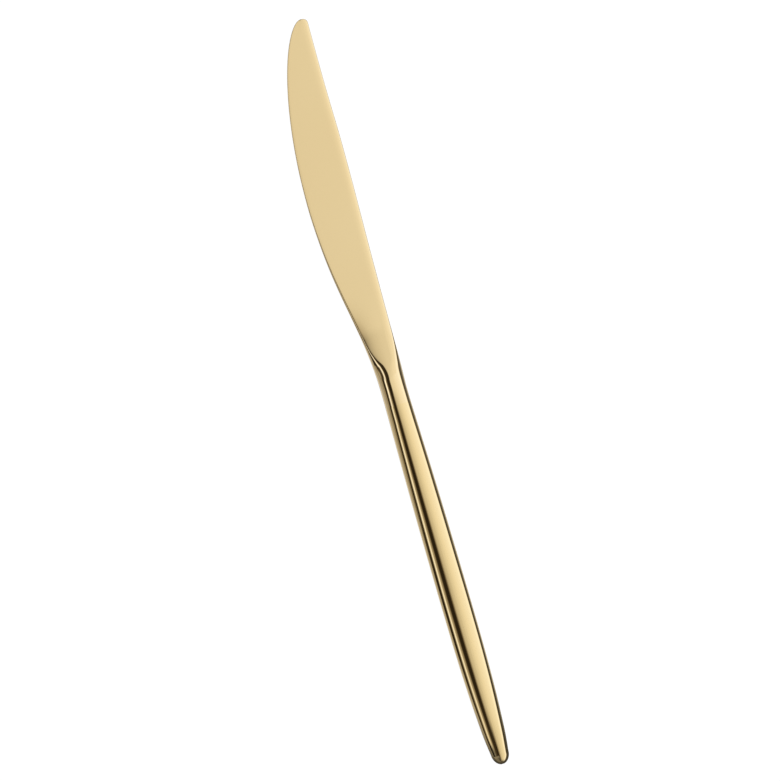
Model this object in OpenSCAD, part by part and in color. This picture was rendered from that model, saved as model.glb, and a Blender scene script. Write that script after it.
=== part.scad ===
// Table knife with a hollow handle, lying flat on its side.
// X runs from the butt to the tip, Y from the back of the blade to the cutting edge, Z out of the shown face.
// The origin is under the middle of the knife, on the surface that it lies on.
// Places along the knife are counted from the butt's end, offsets across it from the handle's centre line.

/* [Lengths] */
// Handle from the butt's end to its mouth
handle_length = 114; // [95:1:125]
// Round neck from the handle's mouth to the top of the ramp
neck_length = 8; // [6:0.5:14]
// Ramp from the round neck down to the blade's flat
ramp_length = 20; // [16:0.5:28]
// Flat of the blade from the ramp's foot to the tip
flat_length = 93; // [80:1:110]
// Deepest point of the cutting edge, back from the tip
belly_to_tip = 57; // [48:1:66]
// Rounded end of the butt, along the handle
butt_round = 3; // [2:0.1:5]

/* [Widths] */
// Handle at its widest
handle_width = 9.2; // [8:0.1:13]
// Neck, edge side to back
neck_width = 8; // [7:0.1:11]
// Cutting edge at its deepest, from the centre line
belly_depth = 9.7; // [8.5:0.1:13]
// Back of the blade at the tip, from the centre line
back_rise = 6.2; // [5.2:0.1:8]
// Point where the cutting edge ends, from the centre line towards the back
tip_rise = 4; // [3:0.1:4.4]

/* [Thicknesses] */
// Handle over the half next to the butt
handle_thickness = 5.6; // [4.6:0.1:8]
// Neck, the thickest place of the knife
neck_thickness = 7.6; // [6.4:0.1:10]
// Blade on the centre line at the ramp's foot
blade_thickness = 2; // [1.6:0.05:2.6]
// How much thinner the blade is at the belly's depth than on the centre line
edge_thinning = 0.6; // [0.3:0.05:1.1]
// How much thinner the blade is at the tip than at the ramp's foot
tip_thinning = 0.7; // [0:0.05:0.9]
// Land left along the cutting edge
edge_land = 0.2; // [0.1:0.02:0.3]

/* [Rounding] */
// Round side along the cutting edge, at its widest
edge_side_width = 0.7; // [0.4:0.05:0.9]
// Soft corner along the back of the blade
back_corner = 2.4; // [1:0.1:3]
// Corner between the back and the tip
tip_corner = 1.6; // [0.6:0.1:1.8]
// Rounding of the tip's end over the thickness
tip_round = 0.6; // [0.3:0.05:1]
// Blend where the ramp leaves the crown of the neck
crown_blend = 0.6; // [0.4:0.1:1.4]
// How much the ramp's face falls from its middle to half the neck's width
ramp_crown = 0.07; // [0.02:0.01:0.16]

/* [Shells and joints] */
// Sheet that the handle's halves are pressed from
wall = 0.6; // [0.4:0.05:0.8]
// Braze between the two halves of the handle
seam_gap = 0.3; // [0.2:0.02:0.36]
// Braze between the handle's mouth and the neck
mouth_gap = 0.3; // [0.15:0.05:0.5]
// Braze round the spigot
spigot_gap = 0.15; // [0.08:0.01:0.25]
// Spigot of the blade inside the handle's mouth
spigot_length = 6; // [4:0.5:10]

/* [Tang and balance rod] */
// Tang from the spigot to its end
tang_length = 46; // [30:1:52]
// Tang at the spigot
tang_width = 4.6; // [3.6:0.1:5]
// Tang at its end
tang_end_width = 3; // [2.2:0.1:3.4]
// Thickness of the tang
tang_thickness = 2.4; // [1.6:0.1:2.8]
// Notches on each side of the tang
notch_count = 4; // [2:1:6]
// Length of one notch
notch_length = 3; // [2:0.1:4]
// Depth of one notch
notch_depth = 0.5; // [0.3:0.05:0.7]
// Diameter of the balance rod
rod_diameter = 3; // [2:0.1:3.2]
// Cement between the butt's end and the rod
rod_place = 14; // [10:0.5:16]
// Cement between the rod and the tang's end
rod_gap = 12; // [6:0.5:14]

/* [Hidden] */

GOLD = [0.88, 0.79, 0.6];
BRAZE = [0.83, 0.72, 0.5];
CEMENT = [0.62, 0.61, 0.58];
STEEL = [0.7, 0.71, 0.72];

total_length = handle_length + neck_length + ramp_length + flat_length;
ramp_top = handle_length + neck_length;
ramp_foot = ramp_top + ramp_length;
belly_place = total_length - belly_to_tip;
neck_place = handle_length + neck_length / 2;
shell_end = handle_length - mouth_gap;
spigot_end = handle_length - spigot_length;
tang_end = spigot_end - tang_length;
rod_length = tang_end - rod_gap - rod_place;
seam_half = seam_gap / 2;
neck_half = neck_width / 2;
overrun = wall / 2;
side_shift = (belly_depth - back_rise) / 2;

// Half width of the handle: share of its length, share of half its greatest width
handle_width_shares = [[0, 0.54], [0.03, 0.6], [0.05, 0.665], [0.08, 0.745], [0.12, 0.81], [0.175, 0.885],
                       [0.24, 0.945], [0.32, 0.985], [0.42, 1], [0.55, 0.998], [0.68, 0.982], [0.8, 0.953],
                       [0.9, 0.917]];
// Cutting edge from the neck to the belly: share of the run, share of the depth gained
heel_shares = [[0, 0], [0.13, 0.035], [0.27, 0.175], [0.4, 0.377], [0.53, 0.6], [0.67, 0.8], [0.82, 0.935],
               [1, 1]];
// Back of the blade from the neck to the tip: share of the run, share of the rise gained
back_shares = [[0, 0], [0.05, 0.1], [0.1, 0.165], [0.2, 0.25], [0.31, 0.37], [0.43, 0.54], [0.56, 0.74],
               [0.68, 0.85], [0.8, 0.84], [0.9, 0.89], [1, 1]];
// Half thickness over the butt: share of the handle's length, share of half the handle's thickness
butt_thickness_shares = [[0, 0.84], [0.05, 0.94], [0.12, 1], [0.28, 1]];
// Swelling from the handle's thickness to the neck's: share of the handle's length, share of the difference
swell_shares = [[0.45, 0.01], [0.55, 0.13], [0.65, 0.27], [0.76, 0.41], [0.86, 0.56], [0.92, 0.7],
                [0.965, 0.84]];
// Flat band left along the back: share of the knife's length, share of the section's own height
band_shares = [[0, 0.06], [0.25, 0.06], [0.36, 0.14], [0.42, 0.21], [0.455, 0.235], [0.485, 0.275],
               [0.505, 0.28], [0.53, 0.18], [0.56, 0.4], [0.61, 0.48], [1, 0.45]];
// Crease between the neck's side and the blade's face: share of the ramp, share of the half width still round
crease_shares = [[0, 1], [0.06, 1], [0.12, 0.96], [0.18, 0.86], [0.245, 0.73], [0.31, 0.475], [0.37, 0.31],
                 [0.43, 0.195], [0.5, 0.09], [0.6, 0.03], [0.7, 0.01], [0.8, 0], [1, 0]];
// Corner along the back over the ramp: share of the ramp, share of the half width still round
corner_shares = [[0, 1], [0.08, 0.77], [0.18, 0.58], [0.28, 0.11], [0.38, 0], [1, 0]];
// Crown of the ramp's face: share of the ramp, share of the named crown
ramp_crown_shares = [[0, 1.8], [0.25, 1.7], [0.42, 1.1], [0.7, 0.95], [1, 0.5], [1.2, 0.2], [1.4, 0]];
// Width of the round side along the cutting edge: share of the knife's length, share of the named width
edge_side_shares = [[0, 1], [0.58, 1], [0.64, 0.9], [0.69, 0.64], [0.75, 0.46], [0.81, 0.34], [1, 0.33]];
// How the belly's curve turns into the tip
belly_power_share = 1.95;
tip_power_share = 0.615;
// Where the belly's curve is read once more, so that the line before the belly meets it smoothly
past_belly_share = 0.2;
// Ramp's arc against the one that would just reach the crown, so that it passes the crown a little late
ramp_arc_share = 0.89;
// Height of the tip's very end against the blade beside it
tip_end_share = 0.35;
// Flat strip left along the crown, against half the neck's width
crown_share = 0.025;
crown_half = neck_half * crown_share;
// Half of the upright band along the handle's sides, against the seam
side_land_share = 0.65;
side_land = seam_gap * side_land_share;
// Place of the stations over the butt's round end, as shares of it
cap_shares = [0, 0.03, 0.09, 0.18, 0.3, 0.44, 0.6, 0.79, 1];
// The butt's round end starts this share of its curve in, so that it ends in a tiny flat
cap_start_share = 0.02;
// How the stations along the handle spread out from the butt, where 1 is evenly
spread_share = 1.4;

corner_points = 9;
side_points = 9;
handle_steps = 16;
neck_steps = 5;
ramp_steps = 16;
flat_steps = 20;
tip_steps = 12;

// A smooth curve through points [place, value], read at a place
function span(points, place, i = 0) =
    (i >= len(points) - 2 || place < points[i + 1][0]) ? i : span(points, place, i + 1);
function slope(points, i) =
    let (a = max(i - 1, 0), b = min(i + 1, len(points) - 1))
    (points[b][1] - points[a][1]) / (points[b][0] - points[a][0]);
function curve(points, place) =
    let (i = span(points, place),
         step = points[i + 1][0] - points[i][0],
         t = min(max((place - points[i][0]) / step, 0), 1),
         t2 = t * t,
         t3 = t2 * t)
    (2 * t3 - 3 * t2 + 1) * points[i][1] + (t3 - 2 * t2 + t) * step * slope(points, i)
    + (3 * t2 - 2 * t3) * points[i + 1][1] + (t3 - t2) * step * slope(points, i + 1);

// The lower of two heights, blended over a radius where they meet
function blend_lower(a, b, radius) =
    let (h = min(max(0.5 + 0.5 * (b - a) / radius, 0), 1))
    b + (a - b) * h - radius * h * (1 - h);

// Cutting edge between the belly and the tip, a quarter of a superellipse
function belly_curve(s) =
    let (u = min((s - belly_place) / belly_to_tip, 1))
    -tip_rise + (belly_depth + tip_rise) * pow(1 - pow(u, belly_power_share), tip_power_share);

// Control points of the outline on both sides, as [place, offset]
handle_line = [for (p = handle_width_shares) [p[0] * handle_length, p[1] * handle_width / 2]];
heel_line = [for (p = heel_shares)
    [neck_place + p[0] * (belly_place - neck_place), neck_half + p[1] * (belly_depth - neck_half)]];
back_line = [for (p = back_shares)
    [neck_place + p[0] * (total_length - neck_place), neck_half + p[1] * (back_rise - neck_half)]];
past_belly = belly_place + past_belly_share * belly_to_tip;
edge_outline = concat(handle_line, heel_line, [[past_belly, belly_curve(past_belly)]]);
back_outline = concat(handle_line, back_line);

// Control points of the half thickness, as [place, height]
butt_line = [for (p = butt_thickness_shares) [p[0] * handle_length, p[1] * handle_thickness / 2]];
swell_line = [for (p = swell_shares)
    [p[0] * handle_length, (handle_thickness + p[1] * (neck_thickness - handle_thickness)) / 2]];
neck_line = [[neck_place, neck_thickness / 2], [ramp_top, neck_thickness / 2]];
height_line = concat(butt_line, swell_line, neck_line);

// The rounded end of the butt, 0 to 1, at a distance from where that end begins
function cap(distance) =
    let (u = min(cap_start_share + distance / butt_round, 1))
    sqrt(1 - pow(1 - u, 2));

// Offsets of the two edges of the outline. Inset pulls them in for the hollow, which has its own round end
function edge_side(s, inset) =
    s > belly_place ? belly_curve(s) - inset : (curve(edge_outline, s) - inset) * cap(s - inset);
function back_side(s, inset) =
    let (past = max(s - (total_length - tip_corner), 0) / tip_corner)
    (curve(back_outline, s) - inset) * cap(s - inset) - tip_corner * (1 - sqrt(1 - past * past));

// Flat of the blade, which thins towards the cutting edge and towards the tip
function flat_height(s, y) =
    blade_thickness / 2 - edge_thinning / 2 * y / belly_depth
    - tip_thinning / 2 * (s - ramp_foot) / flat_length;

// Ramp: an arc that meets the flat at the ramp's foot and would pass the crown at the ramp's top, and that is
// slightly crowned across the knife
ramp_drop = neck_thickness / 2 - blade_thickness / 2;
ramp_radius = ramp_arc_share * (ramp_length * ramp_length + ramp_drop * ramp_drop) / (2 * ramp_drop);
function ramp_height(s, y) =
    let (back = min(max(ramp_foot - s, 0), ramp_radius))
    ramp_radius - sqrt(ramp_radius * ramp_radius - back * back)
    - ramp_crown * curve(ramp_crown_shares, ramp_share(s)) * pow(y / neck_half, 2);

// Rounding of the tip's end over the thickness
function tip_fade(s) =
    let (u = min((total_length - s) / tip_round, 1))
    tip_end_share + (1 - tip_end_share) * sqrt(1 - pow(1 - u, 2));

// Half height of the section at an offset, before its sides are rounded
function face_height(s, y, inset) =
    let (crown = (curve(height_line, s) - inset) * cap(s - inset),
         ramp = flat_height(s, y) + ramp_height(s, y))
    s < handle_length ? crown : blend_lower(crown, ramp, crown_blend) * tip_fade(s);

// Share of the ramp that lies behind a place
function ramp_share(s) = (s - ramp_top) / ramp_length;

// Width of the rounded corner along the back, and of the side between the edge and the crease
function corner_run(s, side, reach) =
    let (corner = min(back_corner, reach / 2), left = curve(corner_shares, ramp_share(s)))
    corner + (side - crown_half - corner) * left;
function side_run(s, side, reach) =
    let (named = edge_side_width * curve(edge_side_shares, s / total_length),
         least = min(named, reach / 4),
         left = curve(crease_shares, ramp_share(s)))
    least + (side - crown_half - least) * left;

// Side profile, 0 at the outline and 1 at the crease: a quarter ellipse
function side_profile(u) = sqrt(1 - pow(1 - u, 2));

// Upper half of the section at a place, from the back to the cutting edge
function half_section(s, inset) =
    let (back = back_side(s, inset),
         edge = edge_side(s, inset),
         reach = back + edge,
         corner = corner_run(s, back, reach),
         side = side_run(s, edge, reach),
         land = edge_land / 2 + (side_land - edge_land / 2) * min(max(1 - ramp_share(s), 0), 1),
         band_share = curve(band_shares, s / total_length))
    concat(
        [for (k = [0 : corner_points - 1])
            let (u = 1 - cos(90 * k / (corner_points - 1)),
                 y = -back + corner * u,
                 face = face_height(s, y, inset),
                 band = max(side_land, band_share * face))
            [s, y, band + (face - band) * side_profile(u)]],
        [for (k = [side_points - 1 : -1 : 0])
            let (u = 1 - cos(90 * k / (side_points - 1)),
                 y = edge - side * u,
                 face = face_height(s, y, inset),
                 rim = min(land, face / 2))
            [s, y, rim + (face - rim) * side_profile(u)]]);

// The same half section turned over
function turned_over(points) =
    [for (k = [len(points) - 1 : -1 : 0]) [points[k][0], points[k][1], -points[k][2]]];
function full_section(s, inset) = let (half = half_section(s, inset)) concat(half, turned_over(half));

// Stations along the handle; the hollow's stations start one wall further in
function handle_stations(start) =
    concat(
        [for (share = cap_shares) start + share * butt_round],
        [for (k = [1 : handle_steps])
            start + butt_round + (spigot_end - start - butt_round) * pow(k / handle_steps, spread_share)],
        [shell_end]);

// Stations along the blade piece, closer together at the tip
tip_zone = tip_corner * 4;
blade_stations = concat(
    [for (k = [0 : neck_steps - 1]) handle_length + neck_length * k / neck_steps],
    [for (k = [0 : ramp_steps - 1]) ramp_top + ramp_length * k / ramp_steps],
    [for (k = [0 : flat_steps - 1]) ramp_foot + (flat_length - tip_zone) * k / flat_steps],
    [for (k = [0 : tip_steps]) total_length - tip_zone * (1 - sin(90 * k / tip_steps))]);

// Triangles between two rows of points; the second half of a full ring has its diagonals mirrored
function strip(row, next, j, j2, mirrored) =
    mirrored
    ? [[row + j, row + j2, next + j], [row + j2, next + j2, next + j]]
    : [[row + j, next + j2, next + j], [row + j, row + j2, next + j2]];
function ring_sides(rows, count) = [
    for (i = [0 : rows - 2])
        for (j = [0 : count - 1])
            each strip(i * count, (i + 1) * count, j, (j + 1) % count, j >= count / 2)];

// Solid through closed rings of points, with a flat end at both ends
module ring_solid(rings) {
    count = len(rings[0]);
    first = [for (j = [count - 1 : -1 : 0]) j];
    last = [for (j = [0 : count - 1]) (len(rings) - 1) * count + j];
    polyhedron(
        points = [for (ring = rings) each ring],
        faces = concat([first], ring_sides(len(rings), count), [last]),
        convexity = 6);
}

// Solid through closed rings whose last ring is the first again
module hoop_solid(rings) {
    count = len(rings[0]);
    last = (len(rings) - 1) * count;
    closing = [for (j = [0 : count - 1]) each strip(last, 0, j, (j + 1) % count, j >= count / 2)];
    polyhedron(
        points = [for (ring = rings) each ring],
        faces = concat(ring_sides(len(rings), count), closing),
        convexity = 6);
}

// Moves a solid from its places along the handle's centre line to its place in the knife's frame
module placed() {
    translate([-total_length / 2, -side_shift, neck_thickness / 2]) children();
}

// Tang in plan: tapered, with notches on both sides that the cement keys into
module tang() {
    pitch = tang_length / (notch_count + 1);
    function half_at(back) = (tang_width + (tang_end_width - tang_width) * back / tang_length) / 2;
    side = concat(
        [[spigot_end + overrun, tang_width / 2]],
        [for (k = [1 : notch_count])
            let (near = k * pitch - notch_length / 2, far = k * pitch + notch_length / 2)
            each [[spigot_end - near, half_at(near)],
                  [spigot_end - near, half_at(near) - notch_depth],
                  [spigot_end - far, half_at(far) - notch_depth],
                  [spigot_end - far, half_at(far)]]],
        [[tang_end, tang_end_width / 2]]);
    other_side = [for (k = [len(side) - 1 : -1 : 0]) [side[k][0], -side[k][1]]];
    linear_extrude(height = tang_thickness, center = true) polygon(concat(side, other_side));
}

// Round rod along the handle's centre line
module rod() {
    translate([rod_place, 0, 0]) rotate([0, 90, 0]) cylinder(h = rod_length, d = rod_diameter, $fn = 48);
}

// One pressed half of the handle: its outside over its hollow, ending at the seam's plane
module shell() {
    outside = handle_stations(0);
    inside = handle_stations(wall);
    function lipped(points) = concat(
        [[points[0][0], points[0][1], seam_half]], points,
        [[points[len(points) - 1][0], points[len(points) - 1][1], seam_half]]);
    function reversed(points) = [for (k = [len(points) - 1 : -1 : 0]) points[k]];
    rings = [for (i = [0 : len(outside) - 1])
        concat(lipped(half_section(outside[i], 0)), reversed(lipped(half_section(inside[i], wall))))];
    ring_solid_of_shell(rings);
}

// The shell's rings hold an outer row and an inner row. At the butt each row is closed by a small flat, with
// the seam's face between the two, and at the mouth the wall's own end joins the rows
module ring_solid_of_shell(rings) {
    count = len(rings[0]);
    row = count / 2;
    end = (len(rings) - 1) * count;
    outer_flat = [for (j = [row - 1 : -1 : 0]) j];
    inner_flat = [for (j = [count - 1 : -1 : row]) j];
    seam_face = [row - 1, 0, count - 1, row];
    mouth = [for (j = [0 : row - 2]) each wall_end(end + j, end + count - 1 - j)];
    polyhedron(
        points = [for (ring = rings) each ring],
        faces = concat([outer_flat, inner_flat, seam_face], ring_sides(len(rings), count), mouth),
        convexity = 10);
}
function wall_end(outer, inner) = [[outer, outer + 1, inner - 1], [outer, inner - 1, inner]];

// One run of seam braze in the plane between the halves, from the butt's end to the mouth
module seam_run(side) {
    outside = handle_stations(0);
    inside = handle_stations(wall);
    function offset_at(s, inset) = side > 0 ? edge_side(s, inset) : -back_side(s, inset);
    outer = [for (s = outside) [s, offset_at(s, 0)]];
    inner = [for (k = [len(inside) - 1 : -1 : 0]) [inside[k], offset_at(inside[k], wall)]];
    linear_extrude(height = seam_gap, center = true)
        polygon(concat([[outside[0], 0]], outer, inner, [[inside[0], 0]]));
}

module blade() {
    color(GOLD) placed() union() {
        ring_solid([for (s = blade_stations) full_section(s, 0)]);
        ring_solid([for (s = [spigot_end, handle_length + overrun]) full_section(s, wall + spigot_gap)]);
        tang();
    }
}

module handle_front_shell() {
    color(GOLD) placed() shell();
}

module handle_back_shell() {
    color(GOLD) placed() mirror([0, 0, 1]) shell();
}

module seam_braze_edge() {
    color(BRAZE) placed() seam_run(1);
}

module seam_braze_spine() {
    color(BRAZE) placed() seam_run(-1);
}

// A thin ring between the mouth and the neck, and a sleeve from it round the spigot
module neck_braze() {
    color(BRAZE) placed() hoop_solid([
        full_section(handle_length, wall + spigot_gap),
        full_section(spigot_end, wall + spigot_gap),
        full_section(spigot_end, wall),
        full_section(shell_end, wall),
        full_section(shell_end, 0),
        full_section(handle_length, 0)]);
}

module handle_filling() {
    color(CEMENT) placed() difference() {
        ring_solid([for (s = handle_stations(wall)) if (s < shell_end) full_section(s, wall)]);
        tang();
        rod();
    }
}

module balance_rod() {
    color(STEEL) placed() rod();
}

blade();
handle_front_shell();
handle_back_shell();
seam_braze_edge();
seam_braze_spine();
neck_braze();
handle_filling();
balance_rod();
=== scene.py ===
import bpy
import numpy as np
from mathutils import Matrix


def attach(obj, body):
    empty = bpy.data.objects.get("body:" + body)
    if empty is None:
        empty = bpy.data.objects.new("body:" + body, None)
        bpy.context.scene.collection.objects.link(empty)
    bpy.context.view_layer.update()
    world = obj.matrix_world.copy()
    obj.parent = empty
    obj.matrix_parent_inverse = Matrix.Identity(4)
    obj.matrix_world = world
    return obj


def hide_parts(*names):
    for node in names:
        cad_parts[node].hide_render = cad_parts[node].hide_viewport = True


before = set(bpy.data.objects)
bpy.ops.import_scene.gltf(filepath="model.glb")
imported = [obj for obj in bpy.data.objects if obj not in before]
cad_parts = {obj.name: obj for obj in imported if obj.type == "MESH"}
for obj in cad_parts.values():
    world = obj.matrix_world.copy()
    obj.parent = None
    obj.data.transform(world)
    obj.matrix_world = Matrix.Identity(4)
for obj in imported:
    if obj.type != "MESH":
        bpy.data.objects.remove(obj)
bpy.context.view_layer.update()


# Camera. It looks straight down on the flat of the knife from far above, as a catalogue picture is taken,
# and is turned so that the knife stands on its butt and the tip leans to the left.
MM = 0.001
image_width = 780
width_of_one_pixel = 0.30513 * MM
knife_middle_height = 3.8 * MM
view_centre = (1.317 * MM, -0.564 * MM)
view_distance = 1.5
nearest_view, farthest_view = 0.01, 20
sensor_width = 36.0
tip_to_left = 16.246

camera_data = bpy.data.cameras.new("camera")
camera_data.sensor_width = sensor_width
camera_data.lens = sensor_width * view_distance / (image_width * width_of_one_pixel)
camera_data.clip_start = nearest_view
camera_data.clip_end = farthest_view
camera = bpy.data.objects.new("camera", camera_data)
camera.location = (*view_centre, knife_middle_height + view_distance)
camera.rotation_euler = (0, 0, np.radians(-90 - tip_to_left))
bpy.context.scene.collection.objects.link(camera)
bpy.context.scene.camera = camera


# Blade. One forging of steel: the blade, the ramp and the round neck, and behind them a short spigot and a
# notched tang that are hidden in the handle. It is ground and polished all over and then coated pale gold.
# Lengths here are millimetres. Places run from the butt's end, offsets across from the handle's centre line.
handle_length = 114
neck_length = 8
ramp_length = 20
flat_length = 93
belly_to_tip = 57
spigot_length = 6
ramp_top = handle_length + neck_length
ramp_foot = ramp_top + ramp_length
total_length = ramp_foot + flat_length
belly_place = total_length - belly_to_tip
neck_place = handle_length + neck_length / 2
spigot_end = handle_length - spigot_length

# Widths, depths and rises across it
handle_width = 9.2
neck_width = 8
neck_half = neck_width / 2
belly_depth = 9.7
back_rise = 6.2
tip_rise = 4

# Thicknesses, what the blade loses towards its edge and tip, and the gap for braze round the spigot
handle_thickness = 5.6
neck_thickness = 7.6
blade_thickness = 2
edge_thinning = 0.6
tip_thinning = 0.7
edge_land = 0.2
wall = 0.6
spigot_gap = 0.15

# Rounds, corners and crowns
butt_round = 3
back_corner = 2.4
tip_corner = 1.6
tip_round = 0.6
edge_side_width = 0.7
ramp_crown = 0.07
crown_blend = 0.6
crown_half = 0.1
side_land = 0.195

# Lines along the knife as [share of a length, share of a value]: outlines, heights and widths of the rounds
handle_width_shares = [[0, 0.54], [0.03, 0.6], [0.05, 0.665], [0.08, 0.745], [0.12, 0.81], [0.175, 0.885],
                       [0.24, 0.945], [0.32, 0.985], [0.42, 1], [0.55, 0.998], [0.68, 0.982], [0.8, 0.953],
                       [0.9, 0.917]]
heel_shares = [[0, 0], [0.13, 0.035], [0.27, 0.175], [0.4, 0.377], [0.53, 0.6], [0.67, 0.8], [0.82, 0.935],
               [1, 1]]
back_shares = [[0, 0], [0.05, 0.1], [0.1, 0.165], [0.2, 0.25], [0.31, 0.37], [0.43, 0.54], [0.56, 0.74],
               [0.68, 0.85], [0.8, 0.84], [0.9, 0.89], [1, 1]]
butt_thickness_shares = [[0, 0.84], [0.05, 0.94], [0.12, 1], [0.28, 1]]
swell_shares = [[0.45, 0.01], [0.55, 0.13], [0.65, 0.27], [0.76, 0.41], [0.86, 0.56], [0.92, 0.7],
                [0.965, 0.84]]
band_shares = [[0, 0.06], [0.25, 0.06], [0.36, 0.14], [0.42, 0.21], [0.455, 0.235], [0.485, 0.275],
               [0.505, 0.28], [0.53, 0.18], [0.56, 0.4], [0.61, 0.48], [1, 0.45]]
crease_shares = [[0, 1], [0.06, 1], [0.12, 0.96], [0.18, 0.86], [0.245, 0.73], [0.31, 0.475], [0.37, 0.31],
                 [0.43, 0.195], [0.5, 0.09], [0.6, 0.03], [0.7, 0.01], [0.8, 0], [1, 0]]
corner_shares = [[0, 1], [0.08, 0.77], [0.18, 0.58], [0.28, 0.11], [0.38, 0], [1, 0]]
ramp_crown_shares = [[0, 1.8], [0.25, 1.7], [0.42, 1.1], [0.7, 0.95], [1, 0.5], [1.2, 0.2], [1.4, 0]]
edge_side_shares = [[0, 1], [0.58, 1], [0.64, 0.9], [0.69, 0.64], [0.75, 0.46], [0.81, 0.34], [1, 0.33]]
belly_power = 1.95
tip_power = 0.615
past_belly_share = 0.2
ramp_arc_share = 0.89
tip_end_share = 0.35
cap_start_share = 0.02

# Reach over which each kind of line is averaged: millimetres for the outlines, else a share of the length
outline_blend = 3
crown_share_blend = 0.1
ramp_share_blend = 0.05
side_share_blend = 0.02
band_share_blend = 0.01


def smooth_line(points, places):
    """A line through given [place, value] points, read at the places. Each span is a cubic, and the
    slope at a point is that of the chord between its two neighbours, so the line has no corner."""
    x, y = np.array(points, float).T
    slope = np.empty(len(x))
    slope[1:-1] = (y[2:] - y[:-2]) / (x[2:] - x[:-2])
    slope[0] = (y[1] - y[0]) / (x[1] - x[0])
    slope[-1] = (y[-1] - y[-2]) / (x[-1] - x[-2])
    places = np.clip(places, x[0], x[-1])
    i = np.clip(np.searchsorted(x, places, side="right") - 1, 0, len(x) - 2)
    step = x[i + 1] - x[i]
    t = (places - x[i]) / step
    start = (2 * t**3 - 3 * t**2 + 1) * y[i] + (t**3 - 2 * t**2 + t) * step * slope[i]
    return start + (3 * t**2 - 2 * t**3) * y[i + 1] + (t**3 - t**2) * step * slope[i + 1]


def softened(points, reach, places):
    """The same line, averaged over a short reach on both sides of each place with bell-shaped weights, so
    that its bend changes gradually too and a reflection runs along it without a kink."""
    samples, steepness = 13, 3
    steps = np.linspace(-1, 1, samples)
    weights = np.exp(-steepness * steps**2)
    weights /= weights.sum()
    around = np.asarray(places, float)[..., None] + steps * reach
    return (smooth_line(points, around) * weights).sum(-1)


def quarter_round(u):
    """Quarter circle over u from 0 to 1: it rises from 0 to 1, upright at first and level at the end."""
    return np.sqrt(1 - (1 - u) ** 2)


def belly_curve(s):
    """Cutting edge from its deepest point to the tip, a quarter of a superellipse."""
    u = np.clip((s - belly_place) / belly_to_tip, 0, 1)
    return -tip_rise + (belly_depth + tip_rise) * (1 - u**belly_power) ** tip_power


def spread(shares, place, length, value, gain):
    """Turns [share, share] rows into [place, value] rows."""
    return [[place + p * length, value + v * gain] for p, v in shares]


past_belly = belly_place + past_belly_share * belly_to_tip
handle_line = spread(handle_width_shares, 0, handle_length, 0, handle_width / 2)
heel_line = spread(heel_shares, neck_place, belly_place - neck_place, neck_half, belly_depth - neck_half)
back_line = spread(back_shares, neck_place, total_length - neck_place, neck_half, back_rise - neck_half)
edge_outline = handle_line + heel_line + [[past_belly, float(belly_curve(past_belly))]]
back_outline = handle_line + back_line
height_line = (
    spread(butt_thickness_shares, 0, handle_length, 0, handle_thickness / 2)
    + spread(swell_shares, 0, handle_length, handle_thickness / 2, (neck_thickness - handle_thickness) / 2)
    + [[neck_place, neck_thickness / 2], [ramp_top, neck_thickness / 2]])


def cap(distance):
    """Rounded end of the butt, from 0 at the end to 1 where the round is done: a quarter circle."""
    return quarter_round(np.clip(cap_start_share + distance / butt_round, 0, 1))


def edge_side(s, inset=0.0):
    """Offset of the cutting-edge side of the outline, pulled in by an inset for the hollow."""
    heel = (softened(edge_outline, outline_blend, s) - inset) * cap(s - inset)
    join = np.clip((s - belly_place) / (past_belly - belly_place), 0, 1)
    return np.where(s > belly_place, heel + (belly_curve(s) - inset - heel) * join, heel)


def back_side(s, inset=0.0):
    """Offset of the back of the outline, with its small round corner at the tip."""
    past = np.clip(s - (total_length - tip_corner), 0, tip_corner) / tip_corner
    back = (softened(back_outline, outline_blend, s) - inset) * cap(s - inset)
    return back - tip_corner * (1 - np.sqrt(1 - past**2))


def flat_height(s, y):
    """Half thickness of the flat blade, which thins towards the cutting edge and towards the tip."""
    thinning = edge_thinning / 2 * y / belly_depth + tip_thinning / 2 * (s - ramp_foot) / flat_length
    return blade_thickness / 2 - thinning


def ramp_height(s, y):
    """Ramp from the flat up to the neck: a circular arc that starts level with the flat at the ramp's foot.
    Across the knife the ramp is slightly crowned, by a parabola that dies out on the blade."""
    drop = (neck_thickness - blade_thickness) / 2
    radius = ramp_arc_share * (ramp_length**2 + drop**2) / (2 * drop)
    arc = radius - np.sqrt(radius**2 - np.clip(ramp_foot - s, 0, radius) ** 2)
    crown = ramp_crown * softened(ramp_crown_shares, crown_share_blend, (s - ramp_top) / ramp_length)
    return arc - crown * (y / neck_half) ** 2


def lower_of(a, b, radius):
    """The lower of two heights, with a fillet where they cross."""
    h = np.clip(0.5 + 0.5 * (b - a) / radius, 0, 1)
    return b + (a - b) * h - radius * h * (1 - h)


def face_height(s, y, inset):
    """Half height of the section at an offset, before its sides are rounded: the handle's crown up to the
    mouth, and from there the lower of the crown and the ramp or flat, thinned in a round at the tip."""
    crown = (softened(height_line, outline_blend, s) - inset) * cap(s - inset)
    tip_end = quarter_round(np.clip((total_length - s) / tip_round, 0, 1))
    tip = tip_end_share + (1 - tip_end_share) * tip_end
    on_blade = lower_of(crown, flat_height(s, y) + ramp_height(s, y), crown_blend) * tip
    return np.where(s < handle_length, crown + 0 * y, on_blade)


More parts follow.
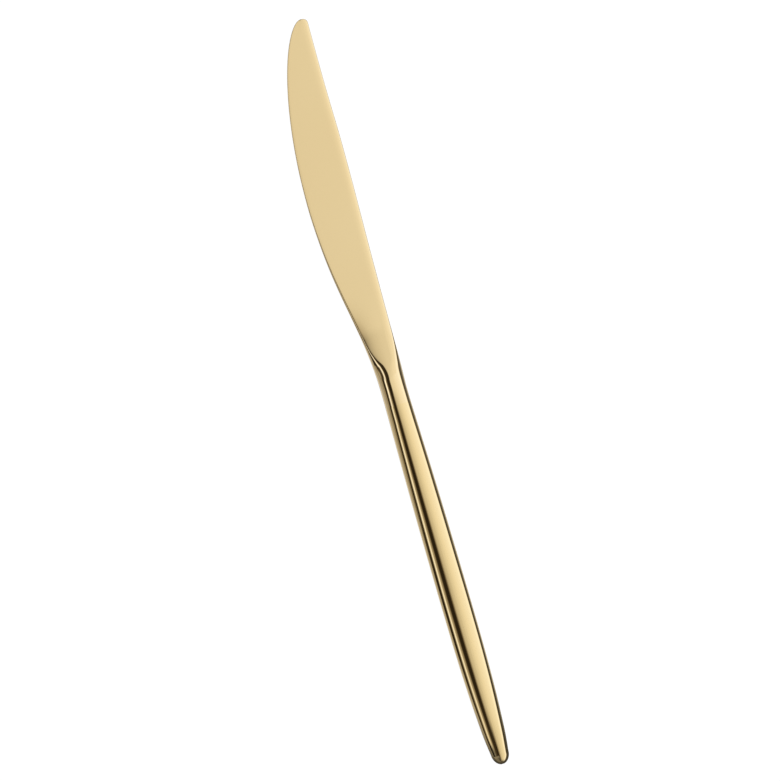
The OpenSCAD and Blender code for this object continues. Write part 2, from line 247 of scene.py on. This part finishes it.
def half_section(s, inset, columns):
    """Upper half of the knife's section at the places s, as rows of points from the back to the cutting
    edge: the rounded corner along the back, the face, and the rounded side. The two rounds are quarter
    ellipses from the outline up to the face. Returns places x points x 3."""
    s = np.asarray(s, float)[:, None]
    back, edge = back_side(s, inset), edge_side(s, inset)
    reach = back + edge
    on_ramp = (s - ramp_top) / ramp_length
    corner = np.minimum(back_corner, reach / 2)
    widening = np.maximum(softened(corner_shares, ramp_share_blend, on_ramp), 0)
    corner = corner + (back - crown_half - corner) * widening
    named_side = edge_side_width * softened(edge_side_shares, side_share_blend, s / total_length)
    side = np.minimum(named_side, reach / 4)
    widening = np.maximum(softened(crease_shares, ramp_share_blend, on_ramp), 0)
    side = side + (edge - crown_half - side) * widening
    land = edge_land / 2 + (side_land - edge_land / 2) * np.clip(1 - on_ramp, 0, 1)
    turn = 1 - np.cos(np.linspace(0, np.pi / 2, columns[0]))
    corner_y = -back + corner * turn
    across = np.linspace(0, 1, columns[1] + 2)[1:-1]
    face_y = (corner - back) + (reach - corner - side) * across
    turn_in = 1 - np.cos(np.linspace(np.pi / 2, 0, columns[2]))
    side_y = edge - side * turn_in
    corner_face = face_height(s, corner_y, inset)
    band = softened(band_shares, band_share_blend, s / total_length) * corner_face
    band = np.maximum(side_land, band)
    corner_z = band + (corner_face - band) * quarter_round(turn)
    side_face = face_height(s, side_y, inset)
    rim = np.minimum(land, side_face / 2)
    side_z = rim + (side_face - rim) * quarter_round(turn_in)
    y = np.concatenate([corner_y, face_y, side_y], 1)
    z = np.concatenate([corner_z, face_height(s, face_y, inset), side_z], 1)
    return np.stack([s + 0 * y, y, z], -1)


def full_section(s, inset, columns):
    """Whole section: the upper half, and the same half turned over, from the cutting edge to the back."""
    half = half_section(s, inset, columns)
    return np.concatenate([half, half[:, ::-1] * (1, 1, -1)], 1)


def strips(rows, columns):
    """Quads between neighbouring rows of points, facing outwards where the rows follow each other along +X
    and their points run from the back over the top to the cutting edge and back underneath. The last point
    of a row is joined to the first."""
    i, j = np.meshgrid(np.arange(rows - 1), np.arange(columns), indexing="ij")
    i, j = i.ravel() * columns, j.ravel()
    k = (j + 1) % columns
    return np.stack([i + j, i + columns + j, i + columns + k, i + k], 1).tolist()


def fan(ring, hub, forwards):
    """Triangles from a hub point to each pair of neighbours on a ring, for a closed end."""
    after = np.roll(ring, -1)
    pair = (ring, after) if forwards else (after, ring)
    return np.stack([np.full(len(ring), hub), *pair], 1).tolist()


def make_piece(name, points, faces):
    """Turns points in knife millimetres and a list of faces into an object in the frame's metres, shaded
    smooth except where its faces meet at more than the sharp angle."""
    sharp_angle = 28
    offset = np.array([-total_length / 2, -(belly_depth - back_rise) / 2, neck_thickness / 2])
    mesh = bpy.data.meshes.new(name)
    mesh.from_pydata(((points + offset) * MM).tolist(), [], faces)
    mesh.validate()
    mesh.shade_smooth()
    mesh.set_sharp_from_angle(angle=np.radians(sharp_angle))
    piece = bpy.data.objects.new(name, mesh)
    bpy.context.scene.collection.objects.link(piece)
    return piece


def ringed_piece(name, rings):
    """A closed piece through rings of points, with a hub in the middle of each end."""
    rows, columns = rings.shape[:2]
    points = np.concatenate([rings.reshape(-1, 3), rings[[0, -1]].mean(1)])
    first, last = np.arange(columns), np.arange(columns) + (rows - 1) * columns
    hub = rows * columns
    faces = strips(rows, columns) + fan(first, hub, True) + fan(last, hub + 1, False)
    return make_piece(name, points, faces)


def tang_rings(half_columns):
    """Rings of the tang from its end to the spigot. Each is a rectangle whose width follows the taper, and
    steps in and out again at the notches; its points lie on the four sides, with one on each corner. The
    upper and the lower half each start a little off the middle, so that no two points fall together."""
    tang_length, tang_width, tang_end_width, tang_thickness = 46, 4.6, 3, 2.4
    notch_count, notch_length, notch_depth = 4, 3, 0.5
    pitch = tang_length / (notch_count + 1)
    middles = pitch * np.arange(1, notch_count + 1)
    near, far = middles - notch_length / 2, middles + notch_length / 2
    behind = np.concatenate([[0], np.stack([near, near, far, far], 1).ravel(), [tang_length]])[::-1]
    in_notch = np.concatenate([[0], np.tile([0, 1, 1, 0], notch_count), [0]])[::-1]
    half = (tang_width + (tang_end_width - tang_width) * behind / tang_length) / 2 - notch_depth * in_notch
    edge_points = half_columns // 6
    off_middle = 0.02
    up = np.linspace(off_middle, 1, edge_points)
    over = np.linspace(-1, 1, half_columns - 2 * edge_points + 2)[1:-1]
    y = np.concatenate([-np.ones(edge_points), over, np.ones(edge_points)])
    z = np.concatenate([up, np.ones(len(over)), up[::-1]])
    y, z = np.concatenate([y, y[::-1]]), np.concatenate([z, -z[::-1]])
    rings = np.empty((len(behind), len(y), 3))
    rings[..., 0] = (spigot_end - behind)[:, None]
    rings[..., 1] = half[:, None] * y
    rings[..., 2] = tang_thickness / 2 * z
    return rings


blade_columns = (40, 14, 44)
neck_rows, ramp_rows, flat_rows, tip_rows = 30, 160, 130, 60
tip_zone = 7
blade_places = np.concatenate([
    np.linspace(handle_length, ramp_top, neck_rows)[:-1],
    np.linspace(ramp_top, ramp_foot, ramp_rows)[:-1],
    np.linspace(ramp_foot, total_length - tip_zone, flat_rows)[:-1],
    total_length - tip_zone * (1 - np.sin(np.linspace(0, np.pi / 2, tip_rows)))])
blade = ringed_piece("knife_blade", np.concatenate([
    tang_rings(sum(blade_columns)),
    full_section([spigot_end, handle_length], wall + spigot_gap, blade_columns),
    full_section(blade_places, 0, blade_columns)]))
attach(blade, "root")
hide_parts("blade")


# Pale gold coating. A film far under a thousandth of a millimetre thick over polished steel: even and
# mirror-bright, with the faint lines of the last polishing wheel and slightly uneven in tone.
def add_node(tree, kind, **settings):
    """Adds a node and sets its properties by name."""
    node = tree.nodes.new(kind)
    for name, value in settings.items():
        setattr(node, name, value)
    return node


def calculate(tree, operation, *terms):
    """Adds a math node. Each term is a socket that it reads or a number that it keeps. Gives its output."""
    node = add_node(tree, "ShaderNodeMath", operation=operation)
    for term, socket in zip(terms, node.inputs):
        if isinstance(term, bpy.types.NodeSocket):
            tree.links.new(term, socket)
        else:
            socket.default_value = term
    return node.outputs["Value"]


def start_group(name, inputs, outputs):
    """Starts a shader node group. An input is a name, a socket type and a default value, an output a name and
    a socket type."""
    tree = bpy.data.node_groups.new(name, "ShaderNodeTree")
    for socket_name, kind, default in inputs:
        tree.interface.new_socket(socket_name, in_out="INPUT", socket_type=kind).default_value = default
    for socket_name, kind in outputs:
        tree.interface.new_socket(socket_name, in_out="OUTPUT", socket_type=kind)
    return tree, add_node(tree, "NodeGroupInput"), add_node(tree, "NodeGroupOutput")


def tone_group():
    """Tone of the metal's surface: a deep and a pale tone mixed by a broad, soft noise over the piece."""
    tree, given, result = start_group("metal_tone", [
        ("Deep tone", "NodeSocketColor", (0.5, 0.5, 0.5, 1)),
        ("Pale tone", "NodeSocketColor", (0.5, 0.5, 0.5, 1)),
        ("Patches per metre", "NodeSocketFloat", 30.0)], [("Colour", "NodeSocketColor")])
    coordinates = add_node(tree, "ShaderNodeTexCoord")
    noise = add_node(tree, "ShaderNodeTexNoise")
    noise.inputs["Detail"].default_value = 2.0
    mix = add_node(tree, "ShaderNodeMix", data_type="RGBA")
    tree.links.new(coordinates.outputs["Object"], noise.inputs["Vector"])
    tree.links.new(given.outputs["Patches per metre"], noise.inputs["Scale"])
    tree.links.new(noise.outputs["Fac"], mix.inputs["Factor"])
    tree.links.new(given.outputs["Deep tone"], mix.inputs["A"])
    tree.links.new(given.outputs["Pale tone"], mix.inputs["B"])
    tree.links.new(mix.outputs["Result"], result.inputs["Colour"])
    return tree


def polish_group():
    """Marks of the polishing wheel: noise drawn out along the knife gives fine lines as a height, and a
    broader noise makes the polish a little duller in places."""
    tree, given, result = start_group("wheel_polish", [
        ("Roughness", "NodeSocketFloat", 0.1),
        ("Unevenness", "NodeSocketFloat", 0.02),
        ("Lines across", "NodeSocketFloat", 4000.0)], [("Roughness", "NodeSocketFloat"),
                                                       ("Height", "NodeSocketFloat")])
    coordinates = add_node(tree, "ShaderNodeTexCoord")
    stretch = add_node(tree, "ShaderNodeMapping")
    lengthwise = 0.01
    stretch.inputs["Scale"].default_value = (lengthwise, 1, 1)
    lines = add_node(tree, "ShaderNodeTexNoise")
    lines.inputs["Detail"].default_value = 3.0
    patches = add_node(tree, "ShaderNodeTexNoise")
    patches.inputs["Scale"].default_value = 90.0
    patches.inputs["Detail"].default_value = 3.0
    duller = calculate(tree, "MULTIPLY_ADD", patches.outputs["Fac"], given.outputs["Unevenness"],
                       given.outputs["Roughness"])
    tree.links.new(coordinates.outputs["Object"], stretch.inputs["Vector"])
    tree.links.new(stretch.outputs["Vector"], lines.inputs["Vector"])
    tree.links.new(given.outputs["Lines across"], lines.inputs["Scale"])
    tree.links.new(coordinates.outputs["Object"], patches.inputs["Vector"])
    tree.links.new(duller, result.inputs["Roughness"])
    tree.links.new(lines.outputs["Fac"], result.inputs["Height"])
    return tree


metal_tone = tone_group()
wheel_polish = polish_group()


def polished_metal(name, deep, pale, roughness, unevenness, line_depth):
    """Coated or bare metal. The two groups give tone, roughness and the height of the polishing lines."""
    material = bpy.data.materials.new(name)
    material.use_nodes = True
    tree = material.node_tree
    shader = tree.nodes["Principled BSDF"]
    shader.inputs["Metallic"].default_value = 1.0
    tone = add_node(tree, "ShaderNodeGroup", node_tree=metal_tone)
    tone.inputs["Deep tone"].default_value = (*deep, 1)
    tone.inputs["Pale tone"].default_value = (*pale, 1)
    polish = add_node(tree, "ShaderNodeGroup", node_tree=wheel_polish)
    polish.inputs["Roughness"].default_value = roughness
    polish.inputs["Unevenness"].default_value = unevenness
    bump = add_node(tree, "ShaderNodeBump")
    bump.inputs["Distance"].default_value = line_depth
    tree.links.new(tone.outputs["Colour"], shader.inputs["Base Color"])
    tree.links.new(polish.outputs["Roughness"], shader.inputs["Roughness"])
    tree.links.new(polish.outputs["Height"], bump.inputs["Height"])
    tree.links.new(bump.outputs["Normal"], shader.inputs["Normal"])
    return material


blade.data.materials.append(polished_metal(
    "gilt_blade_steel", deep=(0.88, 0.68, 0.38), pale=(0.9, 0.71, 0.41),
    roughness=0.045, unevenness=0.02, line_depth=0.0001 * MM))


# Handle halves. Each is pressed from thin steel sheet, a long half shell closed at the butt, and the two are
# brazed along their edges, ground flush there, polished and coated with the blade.
seam_gap = 0.3
mouth_gap = 0.3
shell_end = handle_length - mouth_gap
shell_columns = (64, 4, 64)
butt_rows, handle_rows = 40, 240
crowding = 1.2
shell_steps = np.concatenate([
    butt_round * (1 - np.cos(np.linspace(0, np.pi / 2, butt_rows)))[:-1],
    butt_round + (spigot_end - butt_round) * np.linspace(0, 1, handle_rows) ** crowding])
hollow_steps = wall + shell_steps * (spigot_end - wall) / spigot_end
gilt_shell = polished_metal(
    "gilt_shell_steel", deep=(0.88, 0.675, 0.355), pale=(0.9, 0.705, 0.385),
    roughness=0.055, unevenness=0.02, line_depth=0.0001 * MM)


def half_shell(name, node, upper):
    """Outer and inner rows of the half section at each place, joined by lips in the seam's plane. The butt is
    closed by a small flat outside and one inside, and at the mouth the sheet's own thickness shows."""
    outer = half_section(np.append(shell_steps, shell_end), 0, shell_columns)
    inner = half_section(np.append(hollow_steps, shell_end), wall, shell_columns)
    outer = np.concatenate([outer[:, :1], outer, outer[:, -1:]], 1)
    inner = np.concatenate([inner[:, :1], inner, inner[:, -1:]], 1)
    outer[:, [0, -1], 2] = seam_gap / 2
    inner[:, [0, -1], 2] = seam_gap / 2
    rings = np.concatenate([outer, inner[:, ::-1]], 1)
    rows, columns = rings.shape[:2]
    row = outer.shape[1]
    hub = rows * columns
    points = np.concatenate([rings.reshape(-1, 3), rings[:1, :row].mean(1), rings[:1, row:].mean(1)])
    end = (rows - 1) * columns
    j = np.arange(row - 1)
    wall_end = np.stack([end + j, end + columns - 1 - j, end + columns - 2 - j, end + j + 1], 1)[:, ::-1]
    faces = strips(rows, columns) + wall_end.tolist()
    faces += fan(np.arange(row), hub, True)[:-1] + fan(np.arange(row, columns)[::-1], hub + 1, False)[1:]
    faces += [[hub, row - 1, 0], [hub + 1, columns - 1, row], [0, row - 1, row, columns - 1]]
    if not upper:
        points = points * (1, 1, -1)
        faces = [face[::-1] for face in faces]
    piece = make_piece(name, points, faces)
    piece.data.materials.append(gilt_shell)
    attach(piece, "root")
    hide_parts(node)


half_shell("front_half_of_handle", "handle_front_shell", True)
half_shell("back_half_of_handle", "handle_back_shell", False)


# Seams of the handle. Braze fills the narrow gap between the two halves, one run along each side from the
# middle of the butt to the mouth, ground flush with the sheet and coated with it.
gilt_braze = polished_metal(
    "gilt_braze", deep=(0.87, 0.665, 0.345), pale=(0.9, 0.7, 0.38),
    roughness=0.07, unevenness=0.04, line_depth=0.0002 * MM)


def seam_run(name, node, offset_at, sign):
    """A bar of four-cornered sections that follows the side of the handle, from the middle line at the butt
    to the mouth. Its inner corners follow the shell's hollow."""
    outer = np.concatenate([[0], shell_steps, [shell_end]])
    inner = np.concatenate([[wall], hollow_steps, [shell_end]])
    outer_y, inner_y = offset_at(outer), offset_at(inner, wall)
    outer_y[0] = inner_y[0] = 0
    half = seam_gap / 2
    corners = [(inner, inner_y, half), (outer, outer_y, half),
               (outer, outer_y, -half), (inner, inner_y, -half)]
    rings = np.stack([np.stack([s, sign * y, np.full(len(s), z)], 1) for s, y, z in corners], 1)
    if sign < 0:
        rings = rings[:, ::-1]
    piece = ringed_piece(name, rings)
    piece.data.materials.append(gilt_braze)
    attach(piece, "root")
    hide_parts(node)


seam_run("seam_on_edge_side", "seam_braze_edge", edge_side, 1)
seam_run("seam_on_back_side", "seam_braze_spine", back_side, -1)


# Braze at the neck. A thin ring between the handle's mouth and the blade's neck, and a sleeve from it round
# the spigot inside the mouth. The ring is ground flush and coated, so the joint hardly shows.
neck_places = [(handle_length, wall + spigot_gap), (spigot_end, wall + spigot_gap), (spigot_end, wall),
               (shell_end, wall), (shell_end, 0), (handle_length, 0)]
neck_rings = np.concatenate([full_section([s], inset, blade_columns) for s, inset in neck_places])
rows, columns = neck_rings.shape[:2]
around = np.concatenate([np.arange(rows * columns), np.arange(columns)]).reshape(rows + 1, columns)
quads = np.stack([around[:-1], around[1:], np.roll(around[1:], -1, 1), np.roll(around[:-1], -1, 1)], -1)
neck = make_piece("braze_at_neck", neck_rings.reshape(-1, 3), quads.reshape(-1, 4).tolist())
neck.data.materials.append(gilt_braze)
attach(neck, "root")
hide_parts("neck_braze")


# Filling. Cement poured into the hollow handle, where it sets round the tang and the balance rod: pale grey,
# matt and grainy, with small air holes. It can't be seen once the knife is closed.
def cement_material():
    """Matt grey cement: a fine grain in the colour, and the same grain times air holes as bump."""
    material = bpy.data.materials.new("cement")
    material.use_nodes = True
    tree = material.node_tree
    shader = tree.nodes["Principled BSDF"]
    shader.inputs["Roughness"].default_value = 0.95
    coordinates = add_node(tree, "ShaderNodeTexCoord")
    grain = add_node(tree, "ShaderNodeTexNoise")
    grain.inputs["Scale"].default_value = 2500.0
    grain.inputs["Detail"].default_value = 4.0
    holes = add_node(tree, "ShaderNodeTexVoronoi")
    holes.inputs["Scale"].default_value = 900.0
    tint = add_node(tree, "ShaderNodeMix", data_type="RGBA")
    tint.inputs["A"].default_value = (0.5, 0.48, 0.44, 1)
    tint.inputs["B"].default_value = (0.68, 0.66, 0.61, 1)
    height = calculate(tree, "MULTIPLY", grain.outputs["Fac"], holes.outputs["Distance"])
    bump = add_node(tree, "ShaderNodeBump")
    bump.inputs["Distance"].default_value = 0.05 * MM
    tree.links.new(coordinates.outputs["Object"], grain.inputs["Vector"])
    tree.links.new(coordinates.outputs["Object"], holes.inputs["Vector"])
    tree.links.new(grain.outputs["Fac"], tint.inputs["Factor"])
    tree.links.new(height, bump.inputs["Height"])
    tree.links.new(tint.outputs["Result"], shader.inputs["Base Color"])
    tree.links.new(bump.outputs["Normal"], shader.inputs["Normal"])
    return material


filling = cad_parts["handle_filling"]
filling.data.materials.clear()
filling.data.materials.append(cement_material())


# Balance rod. A length of drawn steel rod set loose in the cement near the butt, so that the handle weighs
# right in the hand. Bare grey metal, dull and uneven, with deeper lines along it from the drawing die.
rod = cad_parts["balance_rod"]
rod.data.materials.clear()
rod.data.materials.append(polished_metal(
    "drawn_steel", deep=(0.42, 0.42, 0.42), pale=(0.6, 0.6, 0.6),
    roughness=0.35, unevenness=0.2, line_depth=0.004 * MM))


# Floor. A plain pale studio table that carries the knife and its shadow. Its own glow makes it white where
# the camera looks at it. The metal sees that glow too, with painted shade and painted reflection laid on it
# by
# place: a painted shadow right under the knife, a painted bright strip just beside it, and painted shade
# behind the back and beyond the butt, where no black card stands.
def share_between(tree, value, start, end):
    """How far a value has come from a start to an end: 0 up to the start, 1 from the end on."""
    node = add_node(tree, "ShaderNodeMapRange")
    node.inputs["From Min"].default_value = start
    node.inputs["From Max"].default_value = end
    tree.links.new(value, node.inputs["Value"])
    return node.outputs["Result"]


def colour_ramp(tree, place, stops):
    """Adds a colour ramp that reads a place from 0 to 1 and goes through stops of a place and a colour."""
    ramp = add_node(tree, "ShaderNodeValToRGB")
    elements = ramp.color_ramp.elements
    while len(elements) > 1:
        elements.remove(elements[-1])
    elements[0].position = stops[0][0]
    elements[0].color = (*stops[0][1], 1)
    for position, colour in stops[1:]:
        elements.new(position).color = (*colour, 1)
    tree.links.new(place, ramp.inputs["Fac"])
    return ramp.outputs["Color"]


def floor_material():
    """Diffuse floor plus a glow, which is whole for camera and transmission rays. For glossy rays it is
    scaled by a ramp over Y, from the side of the back to that of the cutting edge, times a soft step at the
    butt that slants: it reads X plus a share of Y. This scaling is painted shade and painted reflection, seen
    only in the metal."""
    floor_grey, glow_white = (0.12, 0.12, 0.12, 1), (0.98, 0.985, 1, 1)
    glow_strength = 0.99
    reach = 30
    # Painted reflection across the knife, Y in millimetres: painted shade behind the back, a painted bright
    # strip, a painted shadow under the knife, and a painted bright strip beside the cutting edge.
    painted_reflection_beside_knife = [(-30, 0.05), (-18, 0.06), (-12, 0.5), (-9.5, 0.85), (-7.5, 0.3), (-5.5, 0.06), (3, 0.3),
                    (6, 0.85), (8, 0.7), (11, 0.45), (18, 0.42), (30, 0.4)]
    # Painted shade in the metal's reflection beyond the butt, fading out over a slanted line between the two
    # places below, in millimetres.
    butt_slant = 0.3
    painted_shade_full_to, painted_shade_gone_from = -117, -93
    material = bpy.data.materials.new("studio_floor")
    material.use_nodes = True
    tree = material.node_tree
    tree.nodes.remove(tree.nodes["Principled BSDF"])
    coordinates = add_node(tree, "ShaderNodeTexCoord")
    parts = add_node(tree, "ShaderNodeSeparateXYZ")
    tree.links.new(coordinates.outputs["Object"], parts.inputs["Vector"])
    x, y = parts.outputs["X"], parts.outputs["Y"]
    painted_reflection_across_knife = colour_ramp(tree, share_between(tree, y, -reach * MM, reach * MM), [
        ((place / reach + 1) / 2, (share, share, share)) for place, share in painted_reflection_beside_knife])
    slanted = calculate(tree, "MULTIPLY_ADD", y, butt_slant, x)
    painted_butt_shade_mask = share_between(tree, slanted, painted_shade_full_to * MM, painted_shade_gone_from * MM)
    path = add_node(tree, "ShaderNodeLightPath")
    # Painted shade and painted reflection: the glow that the metal mirrors is scaled by both places below.
    painted_shade_and_reflection = calculate(tree, "MULTIPLY", painted_reflection_across_knife, painted_butt_shade_mask)
    painted_reflection_glow = calculate(tree, "MULTIPLY", path.outputs["Is Glossy Ray"], painted_shade_and_reflection)
    seen = calculate(tree, "MAXIMUM", path.outputs["Is Camera Ray"], path.outputs["Is Transmission Ray"])
    strength = calculate(tree, "MULTIPLY", calculate(tree, "MAXIMUM", seen, painted_reflection_glow), glow_strength)
    diffuse = add_node(tree, "ShaderNodeBsdfDiffuse")
    diffuse.inputs["Color"].default_value = floor_grey
    glow = add_node(tree, "ShaderNodeEmission")
    glow.inputs["Color"].default_value = glow_white
    both = add_node(tree, "ShaderNodeAddShader")
    tree.links.new(strength, glow.inputs["Strength"])
    tree.links.new(diffuse.outputs["BSDF"], both.inputs[0])
    tree.links.new(glow.outputs["Emission"], both.inputs[1])
    tree.links.new(both.outputs["Shader"], tree.nodes["Material Output"].inputs["Surface"])
    return material


floor_half = 3.0
floor_mesh = bpy.data.meshes.new("floor")
floor_mesh.from_pydata(
    [(-floor_half, -floor_half, 0), (floor_half, -floor_half, 0), (floor_half, floor_half, 0),
     (-floor_half, floor_half, 0)], [], [(0, 1, 2, 3)])
floor = bpy.data.objects.new("floor", floor_mesh)
floor.data.materials.append(floor_material())
bpy.context.scene.collection.objects.link(floor)


# Studio light. Long soft boxes lie beside the knife: a large one above and towards its back, and a narrow one
# low beyond the cutting edge, with black card in the gap between the two and below them. The large one is
# brighter over the blade than over the handle, and the low one stops short of the butt.
def light_colour(strength):
    """Colour of a light of some strength: the dim ones are warm, the bright ones neutral to cool. It is the
    strength times a tint that is read from a table of strengths."""
    strengths = (0.03, 0.5, 0.85, 1, 1.18)
    reds = (1.2, 1.01, 0.99, 0.985, 0.95)
    greens = (0.92, 0.98, 0.99, 0.99, 1)
    blues = (0.55, 0.86, 0.93, 0.96, 1.11)
    return tuple(float(np.interp(strength, strengths, tint)) * strength for tint in (reds, greens, blues))


def light_round_knife(tree, place, stops):
    """Colour ramp over the angle round the knife, from stops of degrees and strength."""
    return colour_ramp(tree, place, [
        ((degrees + 180) / 360, light_colour(strength)) for degrees, strength in stops])


def along_knife(tree, place, stops):
    """Colour ramp over a direction's lean along the knife, from stops of a lean and three values."""
    return colour_ramp(tree, place, [((lean + 1) / 2, values) for lean, values in stops])


def split_values(tree, colour):
    """The three values that a colour carries."""
    split = add_node(tree, "ShaderNodeSeparateColor")
    tree.links.new(colour, split.inputs["Color"])
    return split.outputs["Red"], split.outputs["Green"], split.outputs["Blue"]


def scaled_colour(tree, colour, strength):
    """A colour, given as a socket or as three numbers, times a strength."""
    node = add_node(tree, "ShaderNodeVectorMath", operation="SCALE")
    if isinstance(colour, bpy.types.NodeSocket):
        tree.links.new(colour, node.inputs[0])
    else:
        node.inputs[0].default_value = colour
    tree.links.new(strength, node.inputs["Scale"])
    return node.outputs["Vector"]


def soft_boxes(tree, angle, angle_place, lean_place):
    """Light of the boxes: four colour ramps over the angle, for directions that lean slightly to the butt,
    strongly to the butt, that stand upright, and that lean to the tip. Their shares follow the lean. Two more
    values over the lean are the strength of all, and of the low box, which lies under its top's angle."""
    over_handle = light_round_knife(tree, angle_place, [
        (-90, 0.4), (-87, 0.05), (-83, 0.02), (-72, 0.02), (-66, 0.02), (-62, 0.03), (-57, 0.57),
        (-53, 1.16), (-49, 1.12), (-44, 0.46), (-38, 0.35), (-33, 0.07), (-29, 0.02), (-16, 0.02),
        (-12, 0.17), (-8.5, 0.49), (-5, 0.63), (0, 0.7), (5, 0.82), (10, 0.86), (16, 0.94), (24, 1),
        (32, 1.05), (42, 1.09), (54, 1.14), (64, 1.25), (72, 1.22), (76, 1.12), (80, 0.03), (90, 0.02)])
    over_butt = light_round_knife(tree, angle_place, [
        (-90, 0.02), (-84, 0.02), (-67, 0.11), (-62, 0.62), (-57, 0.99), (-50, 0.9), (-44, 0.38),
        (-39, 0.27), (-33, 0.04), (-5, 0.02), (-2, 0.27), (0, 0.4), (3, 0.8), (10, 0.7), (16, 0.8),
        (24, 0.86), (32, 0.92), (42, 0.95), (54, 1.06), (64, 1.25), (72, 1.3), (76, 0.72), (80, 0.02),
        (90, 0.02)])
    over_blade = light_round_knife(tree, angle_place, [
        (-90, 0.22), (-85, 0.32), (-80, 0.47), (-74, 0.05), (-70, 0.04), (-60, 0.02), (-56, 0.09),
        (-52, 1.13), (-48, 1.48), (-44, 1.26), (-40, 0.27), (-36, 0.2), (-31, 0.02), (-15, 0.02),
        (-11, 0.03), (-8.5, 0.35), (-6, 0.75), (-3.5, 0.888), (0, 0.885), (5, 0.92), (10, 0.94),
        (16, 0.99), (24, 1.03), (32, 1.08), (42, 1.1), (54, 1.16), (64, 1.28), (72, 1.26), (76, 0.97),
        (80, 0.03), (90, 0.08)])
    over_ramp = light_round_knife(tree, angle_place, [
        (-90, 0.48), (-76, 0.88), (-71, 0.38), (-67, 0.07), (-54, 0.03), (-50, 0.23), (-46, 1.2),
        (-41, 1.2), (-38, 0.72), (-35, 0.1), (-32, 0.04), (-12, 0.02), (-9, 0.06), (-6.5, 0.66),
        (-4.5, 0.76), (-3, 0.83), (5, 0.93), (10, 0.9), (16, 0.97), (24, 0.98), (32, 1.01), (42, 1.03),
        (54, 1.16), (64, 1.25), (70, 1.08), (76, 0.25), (90, 0.04)])
    butt_share, blade_share, ramp_share = split_values(tree, along_knife(tree, lean_place, [
        (-0.14, (1, 0, 0)), (-0.11, (0.75, 0, 0)), (-0.08, (0.3, 0, 0)), (-0.06, (0, 0, 0)),
        (-0.04, (0, 0, 0)), (-0.01, (0, 1, 0)), (0.12, (0, 1, 0)), (0.2, (0, 1, 1))]))
    whole, low_box, _ = split_values(tree, along_knife(tree, lean_place, [
        (-1, (0.1, 0, 0)), (-0.97, (0.32, 0, 0)), (-0.94, (0.62, 0, 0)), (-0.88, (0.85, 0, 0)),
        (-0.75, (1, 0, 0)), (-0.2, (1, 0, 0)), (-0.19, (1, 0.1, 0)), (-0.18, (1, 0.25, 0)),
        (-0.17, (1, 0.65, 0)), (-0.158, (1, 1, 0)), (1, (1, 1, 0))]))
    low_box_top = (-37, -35)
    colour = over_handle
    for share, other in ((butt_share, over_butt), (blade_share, over_blade), (ramp_share, over_ramp)):
        mix = add_node(tree, "ShaderNodeMix", data_type="RGBA")
        tree.links.new(share, mix.inputs["Factor"])
        tree.links.new(colour, mix.inputs["A"])
        tree.links.new(other, mix.inputs["B"])
        colour = mix.outputs["Result"]
    above_low_box = share_between(tree, angle, *low_box_top)
    here = calculate(tree, "MAXIMUM", above_low_box, low_box)
    return scaled_colour(tree, colour, calculate(tree, "MULTIPLY", here, whole))


def room_light(tree, angle_place, lean_place):
    """Dim light of the room far out to both ends of the knife, so that it doesn't mirror pure black there.
    One ramp over the angle tells three zones apart: upright where the large box is, low on both sides, and
    the black card's. The other holds the zones' strengths over the lean. The light is the sum of each zone
    times its strength."""
    zones = colour_ramp(tree, angle_place, [((degrees + 180) / 360, zone) for degrees, zone in [
        (-40, (0, 1, 0)), (-34, (0, 0, 1)), (-14, (0, 0, 1)),
        (-9, (1, 0, 0)), (58, (1, 0, 0)), (64, (0, 1, 0))]])
    strengths = along_knife(tree, lean_place, [
        (-1, (0.05, 0.17, 0.05)), (-0.965, (0.12, 0.17, 0.05)), (-0.945, (0.27, 0.17, 0.05)),
        (-0.88, (0.25, 0.18, 0.05)), (-0.8, (0.1, 0.19, 0.08)), (-0.56, (0.04, 0.2, 0.12)),
        (-0.48, (0, 0.26, 0.22)), (-0.24, (0, 0.26, 0.22)), (-0.205, (0, 0, 0)), (0.24, (0, 0, 0)),
        (0.32, (0, 0.5, 0)), (0.47, (0, 0.5, 0)), (0.56, (0.45, 0.5, 0.4)), (1, (0.5, 0.5, 0.4))])
    room = add_node(tree, "ShaderNodeVectorMath", operation="DOT_PRODUCT")
    tree.links.new(zones, room.inputs[0])
    tree.links.new(strengths, room.inputs[1])
    warm_white = (1, 0.98, 0.92)
    return scaled_colour(tree, warm_white, room.outputs["Value"])


def studio_world():
    """World whose colour depends on a direction's angle round the knife's long axis, in degrees, 0 straight
    up and positive towards the back, and on its lean along the knife, from -1 at the butt's end to 1 at the
    tip's. It is the light of the boxes or of the room, whichever is brighter."""
    world = bpy.data.worlds.new("studio")
    world.use_nodes = True
    tree = world.node_tree
    coordinates = add_node(tree, "ShaderNodeTexCoord")
    parts = add_node(tree, "ShaderNodeSeparateXYZ")
    tree.links.new(coordinates.outputs["Generated"], parts.inputs["Vector"])
    to_back = calculate(tree, "MULTIPLY", parts.outputs["Y"], -1.0)
    angle = calculate(tree, "DEGREES", calculate(tree, "ARCTAN2", to_back, parts.outputs["Z"]))
    angle_place = share_between(tree, angle, -180, 180)
    lean_place = share_between(tree, parts.outputs["X"], -1, 1)
    brighter = add_node(tree, "ShaderNodeVectorMath", operation="MAXIMUM")
    tree.links.new(soft_boxes(tree, angle, angle_place, lean_place), brighter.inputs[0])
    tree.links.new(room_light(tree, angle_place, lean_place), brighter.inputs[1])
    tree.links.new(brighter.outputs["Vector"], tree.nodes["Background"].inputs["Color"])
    return world


bpy.context.scene.world = studio_world()
bpy.context.scene.view_settings.view_transform = "Standard"
